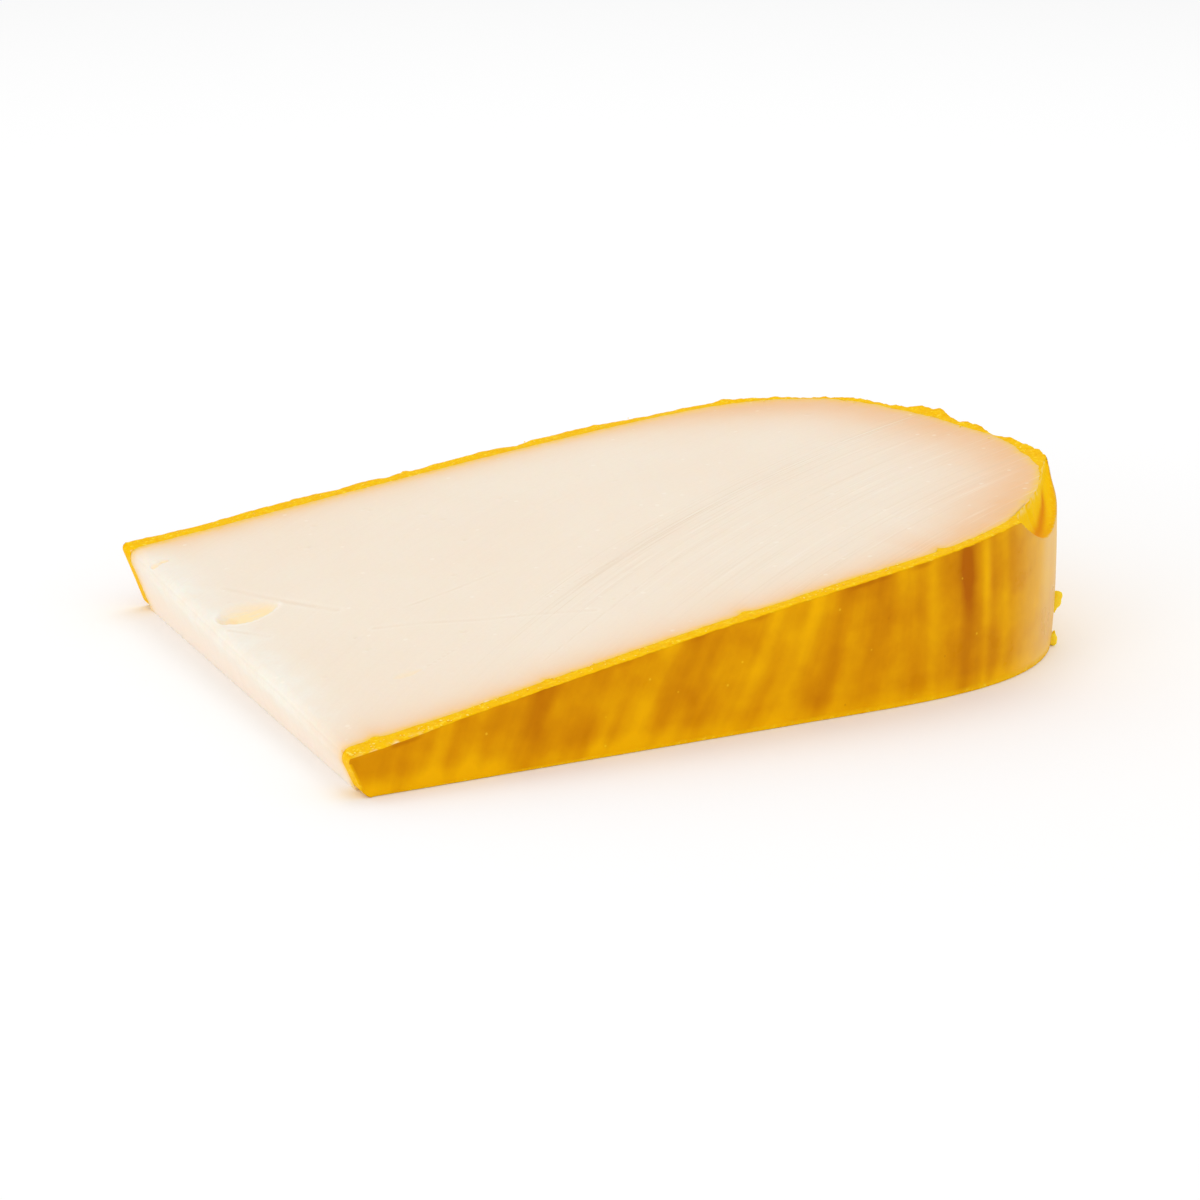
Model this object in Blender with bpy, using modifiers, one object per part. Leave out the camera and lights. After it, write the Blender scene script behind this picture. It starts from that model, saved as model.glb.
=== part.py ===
"""A wedge of semi-hard cheese, cut from a large coated wheel and lying on its lower cut face.

X runs from the tip to the rim, Y along the wheel's axis from one rind side to the other, Z up.
The origin is the middle of the footprint, on the surface that the wedge lies on. Sizes are in metres.

The wedge is made as a cheesemonger makes it: the whole wheel is turned about its axis, and one block,
the space that the knife cuts leave, is common to the paste and to the coated rind round it.
"""

import math

import bmesh
import bpy
from mathutils import Matrix

# The wheel
WHEEL_HEIGHT = 0.105
WHEEL_RADIUS = 0.195
RIM_DEPTH = 0.0604  # how far the rounded rim reaches in from its crown
RIM_POWER_RADIAL = 2.95
RIM_POWER_AXIAL = 2.53
RIM_POINTS = 48
WHEEL_STEPS = 120

# The coated rind, and the gap that keeps its solid clear of the paste
RIND_THICKNESS = 0.0025
RIND_GAP = 0.0003

# The cuts
WEDGE_LENGTH = 0.146
AXIS_HEIGHT = 0.010  # the wheel's axis above the lower cut
TIP_THICKNESS_FRONT = 0.0063
TIP_THICKNESS_BACK = 0.0117
TAPER_FRONT = 0.208  # rise of the upper cut for each metre along X
TAPER_BACK = 0.141
SAG_FRONT = 0.324  # how the upper cut flattens towards the rim, per metre
SAG_BACK = 0.133
TIP_SKEW = 0.0027  # how much nearer the rim the tip cut is at the back
TIP_SLOPE = 0.334  # how far the tip cut leans out for each metre up
CUT_SEGMENTS_X = 16
CUT_SEGMENTS_Y = 6
CUT_CLEARANCE = 0.02  # how far the block reaches past the wheel

# The scoop that a knife took out of the coated rind, where the rim turns to the front side
SCOOP_CENTRE_Y = -0.0415
SCOOP_DEPTH = 0.0019
SCOOP_HALF_LENGTH = 0.016
SCOOP_HALF_WIDTH = 0.0040
SCOOP_HALF_HEIGHT = 0.0062
SCOOP_SEGMENTS = 24
SCOOP_RINGS = 12

COLLECTION = "cheese_wedge"
CUTTERS = "cutters"

CROWN_X = WEDGE_LENGTH / 2
AXIS_X = CROWN_X - WHEEL_RADIUS
TIP_BASE_X = -WEDGE_LENGTH / 2 + TIP_SLOPE * TIP_THICKNESS_FRONT


def clear_scene():
    for obj in list(bpy.data.objects):
        bpy.data.objects.remove(obj)


def new_collection(name):
    collection = bpy.data.collections.new(name)
    bpy.context.scene.collection.children.link(collection)
    return collection


def new_object(name, mesh, collection):
    obj = bpy.data.objects.new(name, mesh)
    collection.objects.link(obj)
    return obj


def as_cutter(obj):
    obj.hide_render = True
    obj.display_type = "WIRE"
    return obj


def plain_material(name, colour, roughness):
    material = bpy.data.materials.new(name)
    material.use_nodes = True
    shader = material.node_tree.nodes["Principled BSDF"]
    shader.inputs["Base Color"].default_value = (*colour, 1.0)
    shader.inputs["Roughness"].default_value = roughness
    shader.inputs["Metallic"].default_value = 0.0
    return material


def rim_point(turn, inset):
    """(radius, height) on the wheel's rounded rim. turn runs from +90 degrees, one side, to -90."""
    radial = (RIM_DEPTH - inset) * abs(math.cos(turn)) ** (2 / RIM_POWER_RADIAL)
    axial = (WHEEL_HEIGHT / 2 - inset) * abs(math.sin(turn)) ** (2 / RIM_POWER_AXIAL)
    return WHEEL_RADIUS - RIM_DEPTH + radial, math.copysign(axial, turn)


def wheel_profile(inset):
    """Half of the wheel's section, from the axis on one side round the rim to the axis on the other."""
    turns = [math.pi * (0.5 - step / RIM_POINTS) for step in range(RIM_POINTS + 1)]
    rim = [rim_point(turn, inset) for turn in turns]
    side = WHEEL_HEIGHT / 2 - inset
    return [(0.0, side), *rim, (0.0, -side)]


def add_wheel(name, inset, collection):
    """A whole wheel, this much smaller all round, turned about its axis and stood on its rim."""
    shape = bmesh.new()
    points = [shape.verts.new((radius, 0.0, height)) for radius, height in wheel_profile(inset)]
    for start, end in zip(points, points[1:]):
        shape.edges.new((start, end))
    mesh = bpy.data.meshes.new(name)
    shape.to_mesh(mesh)
    shape.free()
    wheel = new_object(name, mesh, collection)
    wheel.location = (AXIS_X, 0.0, AXIS_HEIGHT)
    wheel.rotation_euler = (math.radians(90), 0.0, 0.0)
    turned = wheel.modifiers.new("turned", "SCREW")
    turned.axis = "Z"
    turned.steps = WHEEL_STEPS
    turned.render_steps = WHEEL_STEPS
    turned.use_merge_vertices = True
    turned.merge_threshold = 0.00001
    turned.use_smooth_shade = True
    return wheel


def upper_cut_height(along, across):
    """Height of the upper cut: along is the distance from the tip, across runs from 0, front, to 1, back."""
    front = TIP_THICKNESS_FRONT + TAPER_FRONT * along - SAG_FRONT * along**2
    back = TIP_THICKNESS_BACK + TAPER_BACK * along - SAG_BACK * along**2
    return front + (back - front) * across


def add_block(collection):
    """The space between the two long cuts and the tip cut, past the wheel on every other side."""
    length = WEDGE_LENGTH + CUT_CLEARANCE
    width = WHEEL_HEIGHT + 2 * CUT_CLEARANCE
    shape = bmesh.new()
    bmesh.ops.create_grid(
        shape, x_segments=CUT_SEGMENTS_X, y_segments=CUT_SEGMENTS_Y, size=0.5,
        matrix=Matrix.Translation((0.5, 0.0, 1.0)),
    )
    bmesh.ops.extrude_face_region(shape, geom=shape.faces[:])
    shape.faces.ensure_lookup_table()
    lifted = {vert for face in shape.faces[: CUT_SEGMENTS_X * CUT_SEGMENTS_Y] for vert in face.verts}
    for vert in shape.verts:
        share, side = vert.co.x, vert.co.y
        across = 0.5 + side * width / WHEEL_HEIGHT
        above = vert in lifted
        height = upper_cut_height(share * length, across) if above else 0.0
        lean = TIP_SLOPE * upper_cut_height(0.0, across) if above else 0.0
        vert.co = (TIP_BASE_X + TIP_SKEW * across - lean + share * length, side * width, height)
    bmesh.ops.recalc_face_normals(shape, faces=shape.faces)
    mesh = bpy.data.meshes.new("cut_block")
    shape.to_mesh(mesh)
    shape.free()
    return as_cutter(new_object("cut_block", mesh, collection))


def rim_turn(across):
    """The turn at which the rounded rim is this far from the wheel's middle plane."""
    return math.copysign(math.asin((2 * abs(across) / WHEEL_HEIGHT) ** (RIM_POWER_AXIAL / 2)), across)


def rim_heading(turn):
    """Direction, in the wedge's plan, in which the rim runs here from the front side to the back."""
    (ahead_x, ahead_y), (behind_x, behind_y) = (rim_point(turn + nudge, 0.0) for nudge in (0.01, -0.01))
    return math.atan2(ahead_y - behind_y, ahead_x - behind_x)


def add_scoop_cutter(collection):
    """An egg lying along the rim at the upper cut's edge, reaching a little way into the coated rind."""
    turn = rim_turn(SCOOP_CENTRE_Y)
    x = AXIS_X + rim_point(turn, 0.0)[0]
    z = upper_cut_height(x - TIP_BASE_X, 0.5 + SCOOP_CENTRE_Y / WHEEL_HEIGHT)
    shape = bmesh.new()
    bmesh.ops.create_uvsphere(shape, u_segments=SCOOP_SEGMENTS, v_segments=SCOOP_RINGS, radius=1.0)
    bmesh.ops.scale(shape, vec=(SCOOP_HALF_LENGTH, SCOOP_HALF_WIDTH, SCOOP_HALF_HEIGHT), verts=shape.verts)
    bmesh.ops.translate(shape, vec=(0.0, SCOOP_DEPTH - SCOOP_HALF_WIDTH, 0.0), verts=shape.verts)
    mesh = bpy.data.meshes.new("scoop")
    shape.to_mesh(mesh)
    shape.free()
    scoop = as_cutter(new_object("scoop", mesh, collection))
    scoop.location = (x, SCOOP_CENTRE_Y, z)
    scoop.rotation_euler = (0.0, 0.0, rim_heading(turn))
    return scoop


def cut(obj, operation, cutter):
    boolean = obj.modifiers.new(cutter.name, "BOOLEAN")
    boolean.operation = operation
    boolean.solver = "EXACT"
    boolean.object = cutter


def main():
    clear_scene()
    parts = new_collection(COLLECTION)
    cutters = new_collection(CUTTERS)
    block = add_block(cutters)
    scoop = add_scoop_cutter(cutters)
    hollow = as_cutter(add_wheel("paste_room", RIND_THICKNESS, cutters))

    paste = add_wheel("paste", RIND_THICKNESS + RIND_GAP, parts)
    cut(paste, "INTERSECT", block)
    paste.data.materials.append(plain_material("paste", (0.91, 0.80, 0.66), 0.5))

    rind = add_wheel("coated_rind", 0.0, parts)
    cut(rind, "INTERSECT", block)
    cut(rind, "DIFFERENCE", hollow)
    cut(rind, "DIFFERENCE", scoop)
    rind.data.materials.append(plain_material("coated_rind", (0.75, 0.36, 0.01), 0.35))


main()
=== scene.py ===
"""A wedge of yellow coated, semi-hard cheese, lying on its lower cut face in soft studio light."""

import math
import random

import bmesh
import bpy
import numpy as np
from mathutils import Matrix, Vector, kdtree, noise


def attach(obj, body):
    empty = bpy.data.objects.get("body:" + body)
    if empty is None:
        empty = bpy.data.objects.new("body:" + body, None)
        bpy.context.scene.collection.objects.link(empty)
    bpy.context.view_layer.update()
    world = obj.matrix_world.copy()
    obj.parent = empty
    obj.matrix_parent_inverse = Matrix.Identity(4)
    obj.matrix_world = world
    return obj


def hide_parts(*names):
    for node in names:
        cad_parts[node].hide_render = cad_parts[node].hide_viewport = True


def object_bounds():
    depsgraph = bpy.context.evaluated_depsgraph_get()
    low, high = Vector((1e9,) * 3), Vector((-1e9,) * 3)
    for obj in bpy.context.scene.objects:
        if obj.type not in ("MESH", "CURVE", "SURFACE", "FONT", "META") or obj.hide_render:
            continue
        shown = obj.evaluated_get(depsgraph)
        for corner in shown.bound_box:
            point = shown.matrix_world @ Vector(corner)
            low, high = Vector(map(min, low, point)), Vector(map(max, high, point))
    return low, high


bl_info = {
    "name": "Cheese Wedge",
    "version": (1, 0, 0),
    "blender": (4, 5, 0),
    "location": "View3D > Sidebar > Cheese Wedge",
    "description": "Builds a wedge of yellow coated cheese round its fixed model, with its studio",
    "category": "Add Mesh",
}

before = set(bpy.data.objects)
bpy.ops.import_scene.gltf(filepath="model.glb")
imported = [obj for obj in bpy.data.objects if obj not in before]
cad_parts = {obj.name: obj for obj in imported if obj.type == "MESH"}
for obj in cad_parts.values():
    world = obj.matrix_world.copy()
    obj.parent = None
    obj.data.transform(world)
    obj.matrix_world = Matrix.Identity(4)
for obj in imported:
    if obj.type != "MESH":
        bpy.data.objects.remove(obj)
CAD_LOW, CAD_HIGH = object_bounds()
BODY = "root"
SHARP_TURN = math.radians(50)  # edges that turn more than this are shaded sharp
TOP_LEVEL = 0.999  # a level above this is on the upper cut
LOW_LEVEL = 0.001  # a level below this is on the lower cut
ON_FACE = 1e-7  # what is nearer a face than this is on it
CORNER_RUN = 0.048  # how far from the rim's crown, on the outer path, the paste's corners there lie
TIP_OVERHANG = 0.0021  # how far the tip cut leans out past its foot, where distances from the tip begin
DEEP_EYE = 0.0008  # an eye deeper than this gets a painted highlight on its lip
WIRE_PIVOT = (0.128, -0.267)  # the point in plan that the wire turned about
WIRE_RADIUS = 0.28  # about how far from that point the wedge lies
WIRE_BAND = (0.2865, 0.0055)  # the clearest marks: their distance from that point and their half width
STROKE_LEAN = 0.56  # how far a brush stroke near the tip leans for each metre up
STROKE_FOOT = 0.010  # the height at which a leaning stroke is at its own place
SCOOP_TAIL = 1.9  # the scooped corner is this many times longer past its middle than before it
SCOOP_CLEAR = (-0.013, 0.024)  # no crumbs lie from here to here, counted from the scoop's middle
SHRED_HALF = 0.00036  # half the thickness of a shred

# Marks on the upper cut. Places are (distance from the tip, distance from the middle plane), in metres.
# An eye is a place, its half length and half width, its depth, and how yellow it is inside.
EYES = (
    ((0.0056, 0.0088), 0.0050, 0.0037, 0.0010, 1.0),
    ((0.0018, 0.0086), 0.0018, 0.0022, 0.0006, 0.6),
    ((0.0002, 0.0392), 0.0013, 0.0008, 0.0004, 1.0),
    ((0.0020, 0.0397), 0.0010, 0.0007, 0.0003, 1.0),
    ((0.0160, -0.0322), 0.0026, 0.0009, 0.0002, 0.35),
)
# A scratch is the points that it passes through, its width and its depth.
SCRATCHES = (
    (((0.0260, -0.0080), (0.0350, -0.0070), (0.0445, -0.0050)), 0.00035, 0.00010),
    (
        ((0.0190, -0.0122), (0.0260, -0.0160), (0.0335, -0.0216), (0.0410, -0.0260), (0.0485, -0.0316)),
        0.00045, 0.00014,
    ),
    (((0.0060, 0.0210), (0.0122, 0.0078), (0.0172, -0.0010)), 0.00055, 0.00018),
    (((0.0003, 0.0040), (0.0047, -0.0029)), 0.00040, 0.00012),
    (((0.0190, -0.0320), (0.0450, -0.0210), (0.0710, -0.0110)), 0.00018, 0.00005),
    (((0.0340, -0.0430), (0.0520, -0.0320), (0.0710, -0.0200)), 0.00018, 0.00005),
)
# A crisp line that the wire drew, in painted shade: distance from the point that it turned about, and half
# width.
WIRE_LINES = (
    (0.2818, 0.00011),
    (0.2829, 0.00015),
    (0.2853, 0.00012),
    (0.2868, 0.00017),
    (0.2877, 0.00012),
    (0.2906, 0.00018),
)
# A brush stroke in the coating of the front side: distance from the tip, half width and tone,
# which is below 0 where the stroke is dark and above 0 where it is light.
FRONT_STROKES = (
    (0.0058, 0.0024, 0.9),
    (0.0110, 0.0026, -0.6),
    (0.0165, 0.0018, 0.7),
    (0.0220, 0.0016, 0.8),
    (0.0295, 0.0032, -1.1),
    (0.0430, 0.0014, 0.6),
    (0.0490, 0.0018, 1.8),
    (0.0556, 0.0014, 0.5),
    (0.0665, 0.0018, 0.6),
    (0.0740, 0.0022, 1.7),
    (0.0802, 0.0020, -1.5),
    (0.0885, 0.0030, -0.5),
    (0.0990, 0.0014, 1.1),
    (0.1062, 0.0016, -1.7),
    (0.1106, 0.0012, 1.2),
    (0.1150, 0.0016, 0.5),
)
# How thick the coated rind is round the wedge: distance from the rim's crown, + at the back, and width.
RIND_WIDTHS = (
    (-0.177, 0.0042),
    (-0.165, 0.0031),
    (-0.158, 0.0026),
    (-0.112, 0.0026),
    (-0.105, 0.0023),
    (-0.090, 0.0028),
    (-0.070, 0.0023),
    (-0.060, 0.0024),
    (-0.050, 0.0034),
    (-0.044, 0.0038),
    (-0.035, 0.0028),
    (-0.025, 0.0019),
    (-0.018, 0.0017),
    (-0.010, 0.0010),
    (-0.004, 0.0008),
    (0.002, 0.0018),
    (0.013, 0.0023),
    (0.020, 0.0026),
    (0.027, 0.0019),
    (0.036, 0.0012),
    (0.055, 0.0017),
    (0.066, 0.0028),
    (0.075, 0.0036),
    (0.110, 0.0033),
    (0.160, 0.0035),
    (0.175, 0.0033),
)
# Tufts and gaps in the outer edge of the cut rind: distance from the crown, half width and how far out.
EDGE_BUMPS = (
    (-0.1400, 0.0060, -0.00025),
    (-0.1100, 0.0030, 0.00015),
    (-0.0850, 0.0050, -0.00020),
    (-0.0190, 0.0140, 0.0017),
    (-0.0180, 0.0012, -0.0005),
    (-0.0100, 0.0020, 0.0005),
    (-0.0050, 0.0030, -0.0009),
    (0.0020, 0.0060, 0.0007),
    (0.0060, 0.0012, -0.0005),
    (0.0135, 0.0052, 0.0024),
    (0.0150, 0.0009, -0.0006),
    (0.0178, 0.0030, 0.0014),
    (0.0250, 0.0045, -0.0008),
    (0.0335, 0.0040, 0.0004),
    (0.0380, 0.0008, -0.0005),
    (0.0430, 0.0035, -0.0009),
    (0.0462, 0.0007, 0.0006),
    (0.0485, 0.0010, 0.0009),
    (0.0560, 0.0060, 0.0006),
    (0.0588, 0.0020, 0.0013),
    (0.0740, 0.0150, -0.0011),
    (0.0850, 0.0012, 0.0004),
    (0.1010, 0.0035, -0.0009),
    (0.1080, 0.0070, 0.0004),
    (0.1195, 0.0028, -0.0006),
    (0.1222, 0.0007, 0.0007),
    (0.1255, 0.0020, -0.0006),
    (0.1300, 0.0030, 0.0003),
    (0.1355, 0.0030, -0.0006),
    (0.1430, 0.0009, 0.0005),
    (0.1610, 0.0090, -0.0004),
    (0.1720, 0.0060, 0.0004),
)
# Shreds of coating on the rim: distance from the crown, height, reach, half height, and how much wider
# each one is at its top.
SHREDS = (
    (-0.0352, 0.0068, 0.0009, 0.0019, 0.45),
    (-0.0385, 0.0013, 0.0007, 0.0014, -0.70),
)
# Slivers of coating that the wire dragged into the paste: distance from the crown, half width and length.
SLIVERS = (
    (-0.1715, 0.0012, 0.0009),
    (-0.1436, 0.0010, 0.0006),
    (-0.1105, 0.0015, 0.0010),
    (-0.0745, 0.0014, 0.0012),
    (-0.0475, 0.0016, 0.0007),
)


def length_property(name, description, default):
    """A length in metres."""
    return bpy.props.FloatProperty(name=name, description=description, default=default, unit="LENGTH")


def number_property(name, description, default):
    """A number without a unit."""
    return bpy.props.FloatProperty(name=name, description=description, default=default)


def angle_property(name, description, degrees):
    """An angle, whose default is given in degrees."""
    return bpy.props.FloatProperty(
        name=name, description=description, default=math.radians(degrees), subtype="ANGLE",
    )


def power_property(name, description, default):
    """The power of a light in watts."""
    return bpy.props.FloatProperty(name=name, description=description, default=default, unit="POWER")


def colour_property(name, description, default):
    """A colour."""
    return bpy.props.FloatVectorProperty(
        name=name, description=description, default=default, subtype="COLOR", min=0.0, max=1.0,
    )


class WheelSizes(bpy.types.PropertyGroup):
    """The wheel that the wedge came from, and the cuts that freed it."""

    wheel_radius: length_property("Wheel radius", "From the wheel's axis to the crown of its rim", 0.195)
    axis_height: length_property("Axis height", "Height of the wheel's axis above the lower cut", 0.010)
    rim_depth: length_property("Rim depth", "How far the rounded rim reaches in from its crown", 0.0604)
    rim_power_radial: number_property(
        "Rim power, radial", "How squarely the rim turns, along the wheel's radius", 2.95,
    )
    rim_power_axial: number_property(
        "Rim power, axial", "How squarely the rim turns, along the wheel's axis", 2.53,
    )
    tip_front: length_property("Tip, front", "Thickness of the tip at the front side", 0.0063)
    tip_back: length_property("Tip, back", "Thickness of the tip at the back side", 0.0117)
    taper_front: number_property("Taper, front", "Rise of the upper cut along the front side", 0.208)
    taper_back: number_property("Taper, back", "Rise of the upper cut along the back side", 0.141)
    sag_front: number_property(
        "Sag, front", "How the upper cut flattens along the front side, per metre", 0.324,
    )
    sag_back: number_property(
        "Sag, back", "How the upper cut flattens along the back side, per metre", 0.133,
    )
    tip_skew: length_property("Tip skew", "How much nearer the rim the tip cut is at the back", 0.0027)
    tip_slope: number_property("Tip slope", "How far the tip cut leans out for each metre up", 0.334)
    tip_flare: length_property(
        "Tip flare", "How much further the upper edge of the tip cut leans out", 0.0006,
    )


class PasteSettings(bpy.types.PropertyGroup):
    """The pale cheese itself."""

    face_size: length_property("Face size", "About how large the faces of the cut surface are", 0.00100)
    tip_round: length_property("Tip rounding", "Radius of the soft edge along the tip", 0.0024)
    tuck: length_property("Tuck", "How far the paste reaches into the rind, so that no gap shows", 0.00006)
    wave: length_property("Wave", "Height of the slow waves that the wire leaves in a cut", 0.00012)
    ridge: length_property("Ridge", "Height of the fine ridges along the wire's path", 0.00003)
    cream: colour_property("Cream", "Main colour of the paste", (0.862, 0.735, 0.590))
    # Painted highlight: the pale band along the rounded edge between the upper cut and the tip cut. This
    # colour also mottles the cream at random.
    pale: colour_property("Pale", "Colour of the dried tip", (0.870, 0.832, 0.738))
    # Painted light: brightens the paste low on the tip cut, where shade falls by the floor.
    base: colour_property("Base", "Colour of the moist paste low on the tip cut", (0.960, 0.820, 0.700))
    ripe: colour_property("Ripe", "Colour of the firm zone next to the rind", (0.870, 0.520, 0.250))
    firm: colour_property("Firm", "Darker colour of the firm zone along the rim", (0.780, 0.400, 0.170))
    eye: colour_property("Eye", "Colour inside the holes", (0.990, 0.760, 0.420))
    # The colour of painted shade: it darkens the wire's marks and lines, the scratches and the pits. It
    # also darkens the fine grain at random.
    shade: colour_property("Shade", "Colour in the fine marks that the wire left", (0.700, 0.520, 0.340))
    # Painted highlight: the paler streaks between the wire's marks.
    streak_highlight: colour_property("Streak", "Thin paste that the wire has lifted", (0.970, 0.900, 0.780))
    speck: colour_property("Speck", "Small pale specks in the paste", (1.000, 0.940, 0.840))
    # Painted highlight: the pale colour on the lips of the eyes and beside the scratches and pits.
    lip_highlight: colour_property("Lip", "Raised lips of the holes and scratches", (1.000, 0.950, 0.870))
    stain: colour_property("Stain", "Coating smeared into the paste at the rind", (0.950, 0.560, 0.030))


class RindSettings(bpy.types.PropertyGroup):
    """The coated rind round the two sides and the rim."""

    face_size: length_property("Face size", "About how long the faces are, round the wedge", 0.00055)
    edge_round: length_property("Edge rounding", "Radius of the rind's outer edges", 0.00035)
    proud: length_property("Proud", "How far the cut rind stands above the paste", 0.00008)
    crumble: length_property("Crumble", "Height of the lumps in the cut rind", 0.00018)
    foot_round: length_property("Foot rounding", "Radius of the rind's lower corners at the tip", 0.0014)
    end_round: length_property("End rounding", "Radius of the rind's upper corners at the tip", 0.0009)
    wave: length_property("Wave", "Height of the slow waves in the coating", 0.00030)
    stroke_height: length_property("Stroke height", "Relief of the brush strokes in the coating", 0.00007)
    scoop_run: length_property(
        "Scoop place", "Middle of the scooped corner, from the rim's crown", -0.0460,
    )
    scoop_half: length_property("Scoop half length", "Half the length of the scooped corner", 0.0118)
    scoop_drop: length_property("Scoop drop", "How far down the scoop reaches", 0.0061)
    scoop_hollow: length_property("Scoop hollow", "How far the scoop is hollowed below a flat cut", 0.0012)
    dark: colour_property("Dark stroke", "Coating where it lies thickest", (0.465, 0.123, 0.000))
    amber: colour_property("Amber", "Main colour of the coating", (0.690, 0.282, 0.000))
    light: colour_property("Light stroke", "Coating where it lies thinnest", (0.880, 0.450, 0.000))
    cut: colour_property("Cut", "Coated rind where it is cut", (0.930, 0.540, 0.000))
    # Painted light: brightens the scooped corner, whose hollow would lie in shade.
    scoop_brightening: colour_property(
        "Fresh", "Coating in the scooped corner, which is cleanly cut", (1.000, 0.600, 0.000),
    )
    # Painted shade in the hollow of the scooped corner. The same colour also darkens crumbly patches of the
    # cut at random.
    crumb_and_hollow_shade: colour_property("Groove", "Coating in the hollow of the scooped corner", (0.790, 0.275, 0.000))
    # Painted sheen: the dull pale reflection that lies over the coating of the rim.
    sheen: colour_property("Bloom", "Dull bloom on the coating of the rim", (0.950, 0.720, 0.310))
    crumb: colour_property("Crumb", "Crumbs and dust along the cut", (1.000, 0.730, 0.045))
    pale_crumb: colour_property("Pale crumb", "The palest of the crumbs", (0.990, 0.760, 0.170))
    # Pale torn edge along the scoop's crest, and the colour of a painted highlight along the rind's outer
    # upper edge near the front tip.
    burr_and_highlight: colour_property("Burr", "Pale torn edge of the cut rind", (1.000, 0.770, 0.400))
    torn: colour_property("Torn", "Shreds of torn coating", (1.000, 0.780, 0.030))


class StageSettings(bpy.types.PropertyGroup):
    """The floor, the light and the camera."""

    azimuth: angle_property(
        "Azimuth", "How far the camera stands towards the tip from the front side", 27.674,
    )
    elevation: angle_property("Elevation", "Height of the camera above the horizon", 17.064)
    roll: angle_property("Roll", "Turn of the camera about its own line of sight", 0.598)
    distance: length_property("Distance", "From the camera to the point that it looks at", 0.4965)
    target: bpy.props.FloatVectorProperty(
        name="Target", description="The point that the camera looks at", default=(-0.0049, 0.0, 0.0071),
        subtype="TRANSLATION", unit="LENGTH",
    )
    lens: number_property("Lens", "Focal length in millimetres", 87.16)
    sky: number_property("Sky", "Strength of the even light all round", 0.92)
    key: power_property("Key", "Power of the large soft light overhead", 2.0)
    fill: power_property("Fill", "Power of the soft light off the tip", 3.5)
    floor: colour_property("Floor", "Colour of the floor", (0.97, 0.97, 0.97))


# ---------------------------------------------------------------- shapes


def smooth(low, high, value):
    """0 at low, 1 at high, and an even S-curve between."""
    share = np.clip((value - low) / (high - low), 0.0, 1.0)
    return share * share * (3.0 - 2.0 * share)


def hump(away, width):
    """A rounded bump, 1 where away is 0 and fading over about the width."""
    return np.exp(-((away / width) ** 2))


def as_points(*parts):
    """Puts numbers and arrays side by side, as one row for each point."""
    return np.stack(np.broadcast_arrays(*parts), axis=1)


def lumps(points, size, seed):
    """Smooth noise from about -1 to 1 at each point, with lumps about as large as size."""
    away = Vector((17.3 * seed, 5.1 * seed, 9.7 * seed))
    return np.array([noise.noise(Vector(point) / size + away) for point in points])


class Wedge:
    """The wedge's outer shape: the wheel's section as a path from tip to tip, and the two long cuts."""

    def __init__(self, sizes):
        self.sizes = sizes
        self.half = CAD_HIGH.y
        self.flat_end = CAD_HIGH.x - sizes.rim_depth
        self.tip_x = CAD_LOW.x + sizes.tip_slope * sizes.tip_front
        turn = np.linspace(-math.pi / 2, math.pi / 2, 4001)
        x = self.flat_end + sizes.rim_depth * np.abs(np.cos(turn)) ** (2 / sizes.rim_power_radial)
        y = self.half * np.sign(turn) * np.abs(np.sin(turn)) ** (2 / sizes.rim_power_axial)
        self.path_x = np.concatenate(([self.tip_x], x, [self.tip_x + sizes.tip_skew]))
        self.path_y = np.concatenate(([-self.half], y, [self.half]))
        length = np.concatenate(([0.0], np.cumsum(np.hypot(np.diff(self.path_x), np.diff(self.path_y)))))
        self.path_run = length - np.interp(0.0, self.path_y, length)

    @property
    def front_run(self):
        return self.path_run[0]

    @property
    def back_run(self):
        return self.path_run[-1]

    def outline(self, run):
        """Points of the outer path. run is the distance from the rim's crown, below 0 on the front side."""
        return np.interp(run, self.path_run, self.path_x), np.interp(run, self.path_run, self.path_y)

    def outward(self, run, step=0.0008):
        """The path's outward direction in plan."""
        (ahead_x, ahead_y), (behind_x, behind_y) = self.outline(run + step), self.outline(run - step)
        along_x, along_y = ahead_x - behind_x, ahead_y - behind_y
        size = np.hypot(along_x, along_y)
        return along_y / size, -along_x / size

    def inside(self, run, depth):
        """The point this far in from the outer path. At the two ends it slides along the tip cut."""
        x, y = self.outline(run)
        out_x, out_y = self.outward(run)
        end = smooth(0.02, 0.0, np.minimum(run - self.front_run, self.back_run - run))
        slide = self.sizes.tip_skew * depth / (2 * self.half) * np.sign(-run) * end
        return x - depth * out_x + slide, y - depth * out_y

    def from_tip_cut(self, x, y):
        """Distance in plan from the foot of the tip cut."""
        return x - self.tip_x - self.sizes.tip_skew * (y + self.half) / (2 * self.half)

    def upper_cut(self, x, y):
        """Height of the upper cut."""
        sizes = self.sizes
        across = (y + self.half) / (2 * self.half)
        tip_height = sizes.tip_front + (sizes.tip_back - sizes.tip_front) * across
        along = x - (self.tip_x + sizes.tip_skew * across - sizes.tip_slope * tip_height)
        front = sizes.tip_front + sizes.taper_front * along - sizes.sag_front * along**2
        back = sizes.tip_back + sizes.taper_back * along - sizes.sag_back * along**2
        return front + (back - front) * across

    def stand(self, x, y, level):
        """Lifts plan points to a level between the lower cut, 0, and the upper, 1, and gives x and z."""
        sizes = self.sizes
        tipward = np.clip((self.flat_end - x) / (self.flat_end - self.tip_x), 0.0, 1.0)
        radius = x - (CAD_HIGH.x - sizes.wheel_radius)
        stood = x
        for _ in range(3):
            z = level * self.upper_cut(stood, y)
            curve = radius - np.sqrt(radius**2 - (z - sizes.axis_height) ** 2)
            stood = x - sizes.tip_slope * z * tipward - curve * (1.0 - tipward)
        flare = sizes.tip_flare * np.clip(level, 0.0, 1.0) ** 1.5 * smooth(0.86, 1.0, tipward)
        return stood - flare, level * self.upper_cut(stood, y)


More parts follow.
